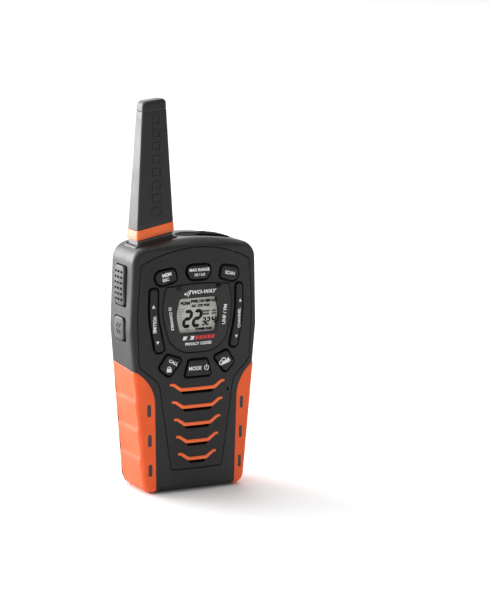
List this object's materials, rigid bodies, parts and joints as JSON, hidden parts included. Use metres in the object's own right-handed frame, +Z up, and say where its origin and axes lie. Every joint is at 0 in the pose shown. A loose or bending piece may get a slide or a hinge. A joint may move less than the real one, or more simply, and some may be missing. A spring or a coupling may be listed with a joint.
{
  "type": "two-way radio",
  "caption": "Handheld two-way radio with a fixed antenna, rubber side grips, keypad and display, with a removable battery door, a belt clip and working keys.",
  "frame": {"origin": "centre of the flat foot that the radio stands on, midway between its front and back", "axes": "+Z up along the radio and its antenna, -Y out of the front with the display, +X to the right as the front is seen"},
  "size_m": [0.0693, 0.0436, 0.1908],
  "materials": {
    "black_shell": "fine satin texture",
    "panel_black": "satin",
    "key_black": "satin",
    "orange_rubber": "matte",
    "orange_plastic": "satin",
    "black_rubber": "matte",
    "cloth": "woven, matt",
    "lens": "clear with a smoked border",
    "lcd": "pale grey polariser",
    "white_plastic": "moulded",
    "grey_rubber": "matte",
    "board": "solder mask",
    "tin": "tinned",
    "speaker_steel": "zinc grey",
    "cone": "paper and film",
    "copper": "bare",
    "dark_plastic": "fine texture",
    "cell_wrap": "printed sleeve",
    "gold": "plated"
  },
  "bodies": {
    "casing": {"front_housing": "black_shell", "rear_housing": "black_shell", "front_panel": "panel_black", "grip_left": "orange_rubber", "grip_right": "orange_rubber", "grille_bars": "orange_plastic", "speaker_cloth": "cloth", "display_lens": "lens", "display_module": "lcd", "display_holder": "white_plastic", "key_membrane": "grey_rubber", "circuit_board": "board", "board_parts": "tin", "microphone": "tin", "speaker_frame": "speaker_steel", "speaker_magnet": "speaker_steel", "side_board": "board", "side_switches": "tin", "antenna_base": "black_shell", "antenna_ring": "orange_plastic", "antenna_sleeve": "black_rubber", "antenna_coil": "copper", "audio_jack": "dark_plastic", "charge_socket": "tin", "housing_seal": "grey_rubber", "housing_screws": "tin", "battery_springs": "tin", "battery_plates": "tin", "door_seal": "grey_rubber", "charge_contacts": "gold"},
    "speaker_cone_body": {"speaker_cone": "cone"},
    "belt_clip_base": {"belt_clip_base": "dark_plastic", "belt_clip_pin": "tin", "belt_clip_spring": "tin"},
    "belt_clip_arm": {"belt_clip_arm": "dark_plastic"},
    "mem_key": {"mem_key": "key_black"},
    "range_key": {"range_key": "key_black"},
    "scan_key": {"scan_key": "key_black"},
    "call_key": {"call_key": "key_black"},
    "mode_key": {"mode_key": "key_black"},
    "weather_key": {"weather_key": "key_black"},
    "volume_key": {"volume_key": "key_black"},
    "channel_key": {"channel_key": "key_black"},
    "ptt_button": {"ptt_button": "black_rubber"},
    "replay_button": {"replay_button": "black_rubber"},
    "jack_cover": {"jack_cover": "black_rubber"},
    "battery_door": {"battery_door": "black_shell"},
    "door_lock": {"door_lock": "black_shell"},
    "battery_cell_1": {"battery_cell_1": "cell_wrap"},
    "battery_cell_2": {"battery_cell_2": "cell_wrap"},
    "battery_cell_3": {"battery_cell_3": "cell_wrap"}
  },
  "joints": [
    {"name": "mem_key_press", "type": "slide", "parent": "casing", "child": "mem_key", "axis": [0, 1, 0], "range_m": [0, 0.0008], "stiffness_N_per_m": 900, "springref_m": -0.0004},
    {"name": "range_key_press", "type": "slide", "parent": "casing", "child": "range_key", "axis": [0, 1, 0], "range_m": [0, 0.0008], "stiffness_N_per_m": 900, "springref_m": -0.0004},
    {"name": "scan_key_press", "type": "slide", "parent": "casing", "child": "scan_key", "axis": [0, 1, 0], "range_m": [0, 0.0008], "stiffness_N_per_m": 900, "springref_m": -0.0004},
    {"name": "call_key_press", "type": "slide", "parent": "casing", "child": "call_key", "axis": [0, 1, 0], "range_m": [0, 0.0008], "stiffness_N_per_m": 900, "springref_m": -0.0004},
    {"name": "mode_key_press", "type": "slide", "parent": "casing", "child": "mode_key", "axis": [0, 1, 0], "range_m": [0, 0.0008], "stiffness_N_per_m": 900, "springref_m": -0.0004},
    {"name": "weather_key_press", "type": "slide", "parent": "casing", "child": "weather_key", "axis": [0, 1, 0], "range_m": [0, 0.0008], "stiffness_N_per_m": 900, "springref_m": -0.0004},
    {"name": "volume_key_rock", "type": "hinge", "parent": "casing", "child": "volume_key", "pos_m": [-0.0235, -0.0112, 0.08475], "axis": [1, 0, 0], "range_deg": [-1, 1], "stiffness_Nm_per_rad": 0.1},
    {"name": "channel_key_rock", "type": "hinge", "parent": "casing", "child": "channel_key", "pos_m": [0.0235, -0.0112, 0.08475], "axis": [1, 0, 0], "range_deg": [-1, 1], "stiffness_Nm_per_rad": 0.1},
    {"name": "ptt_button_press", "type": "slide", "parent": "casing", "child": "ptt_button", "axis": [1, 0, 0], "range_m": [0, 0.001], "stiffness_N_per_m": 1500, "springref_m": -0.0006},
    {"name": "replay_button_press", "type": "slide", "parent": "casing", "child": "replay_button", "axis": [1, 0, 0], "range_m": [0, 0.001], "stiffness_N_per_m": 1200, "springref_m": -0.0005},
    {"name": "speaker_cone_travel", "type": "slide", "parent": "casing", "child": "speaker_cone_body", "axis": [0, 1, 0], "range_m": [-0.0003, 0.0003], "stiffness_N_per_m": 2500},
    {"name": "jack_cover_lift", "type": "hinge", "parent": "casing", "child": "jack_cover", "pos_m": [0.02396, 0, 0.1225], "axis": [0, 1, 0], "range_deg": [0, 115]},
    {"name": "door_off", "type": "slide", "parent": "casing", "child": "battery_door", "axis": [0, 1, 0], "range_m": [0, 0.044]},
    {"name": "door_lock_turn", "type": "hinge", "parent": "battery_door", "child": "door_lock", "pos_m": [0, 0.015, 0.0665], "axis": [0, 1, 0], "range_deg": [0, 90]},
    {"name": "cell_1_out", "type": "slide", "parent": "casing", "child": "battery_cell_1", "axis": [0, 1, 0], "range_m": [0, 0.022]},
    {"name": "cell_2_out", "type": "slide", "parent": "casing", "child": "battery_cell_2", "axis": [0, 1, 0], "range_m": [0, 0.022]},
    {"name": "cell_3_out", "type": "slide", "parent": "casing", "child": "battery_cell_3", "axis": [0, 1, 0], "range_m": [0, 0.022]},
    {"name": "clip_off", "type": "slide", "parent": "casing", "child": "belt_clip_base", "axis": [0, 0, 1], "range_m": [0, 0.026]},
    {"name": "clip_arm_open", "type": "hinge", "parent": "belt_clip_base", "child": "belt_clip_arm", "pos_m": [0, 0.0234, 0.108], "axis": [1, 0, 0], "range_deg": [0, 20], "stiffness_Nm_per_rad": 0.3, "springref_deg": -17.19}
  ],
  "couplings": [
    {"joint": "cell_1_out", "follows": "door_off", "ratio": 0.5},
    {"joint": "cell_2_out", "follows": "door_off", "ratio": 0.5},
    {"joint": "cell_3_out", "follows": "door_off", "ratio": 0.5}
  ]
}
